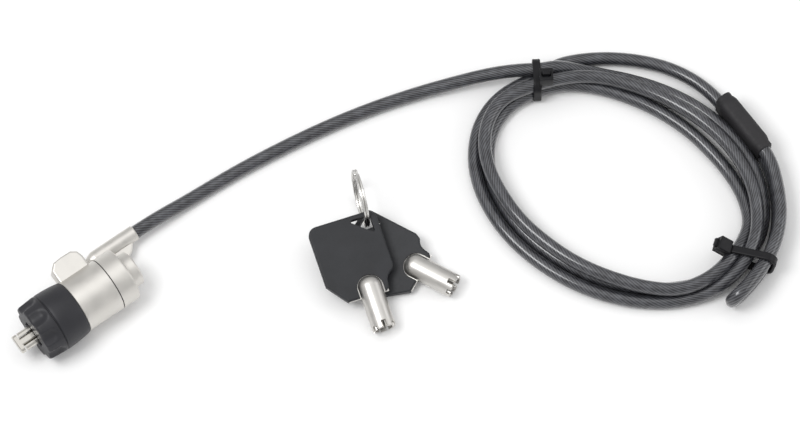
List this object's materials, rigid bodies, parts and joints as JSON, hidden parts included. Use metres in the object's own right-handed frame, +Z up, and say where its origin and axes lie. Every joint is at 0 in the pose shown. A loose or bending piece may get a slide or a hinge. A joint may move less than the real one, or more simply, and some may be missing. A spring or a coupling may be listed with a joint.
{
  "type": "laptop cable lock",
  "caption": "Barrel lock head with a T-bar tip and thumb wing on a swivelling steel security cable, coiled and tied, with tubular keys on a split ring.",
  "frame": {"origin": "centre of the nose cap's front face, on the barrel's axis", "axes": "+X along the barrel axis from the nose towards the keyway and the cable end; +Y from the barrel's axis towards the thumb wing and the cable ferrule; +Z up from the table, which is 10.25 mm below the barrel's axis"},
  "size_m": [0.2423, 0.1435, 0.0205],
  "materials": {
    "cap_rubber": "matte",
    "satin_nickel": "satin",
    "bright_chrome": "polished",
    "steel": "satin",
    "brass": "satin",
    "nickel": "satin",
    "washer_black": "matte",
    "cable_vinyl": "gloss",
    "sleeve_plastic": "matte",
    "crimp_metal": "satin",
    "tie_nylon": "satin",
    "key_nickel": "polished",
    "key_plastic": "matte",
    "ring_steel": "polished"
  },
  "bodies": {
    "cable_set": {"swivel_collar": "satin_nickel", "cable_stop": "steel", "cable_lead": "cable_vinyl", "cable_coil": "cable_vinyl", "cable_tail": "cable_vinyl", "cable_loop": "cable_vinyl", "crimped_strands": "cable_vinyl", "loop_sleeve": "sleeve_plastic", "loop_crimp": "crimp_metal", "cable_tie_1": "tie_nylon", "cable_tie_2": "tie_nylon"},
    "lock_head": {"barrel_housing": "satin_nickel", "nose_cap": "cap_rubber", "pin_carrier": "bright_chrome", "cylinder_case": "satin_nickel", "stator": "brass", "driver_pins": "steel", "pin_springs": "steel", "retaining_dowel": "steel", "swivel_washer": "washer_black", "collar_clip": "steel"},
    "plug": {"rotor": "nickel", "spindle": "steel", "spindle_clip": "steel", "t_bar": "bright_chrome", "key_pins": "brass"},
    "key_1": {"key_1_blade": "key_nickel", "key_1_head": "key_plastic"},
    "ring": {"key_ring": "ring_steel"},
    "key_2": {"key_2_blade": "key_nickel", "key_2_head": "key_plastic"}
  },
  "joints": [
    {"name": "head_swivel", "type": "hinge", "parent": "cable_set", "child": "lock_head", "pos_m": [0.0328, 0, 0], "axis": [1, 0, 0], "continuous": true},
    {"name": "key_turn", "type": "hinge", "parent": "lock_head", "child": "plug", "pos_m": [0.03, 0, 0], "axis": [1, 0, 0], "range_deg": [0, 90]},
    {"name": "keys_lift", "type": "slide", "parent": "cable_set", "child": "key_1", "axis": [0, 0, 1], "range_m": [0, 0.03]},
    {"name": "ring_turn", "type": "hinge", "parent": "key_1", "child": "ring", "pos_m": [0.1136, -0.02419, -0.0004], "axis": [-0.9239, 0.3827, 0], "continuous": true},
    {"name": "key_2_fan", "type": "hinge", "parent": "key_1", "child": "key_2", "pos_m": [0.10975, -0.03165, 0], "axis": [0, 0, 1], "range_deg": [0, 30]}
  ]
}
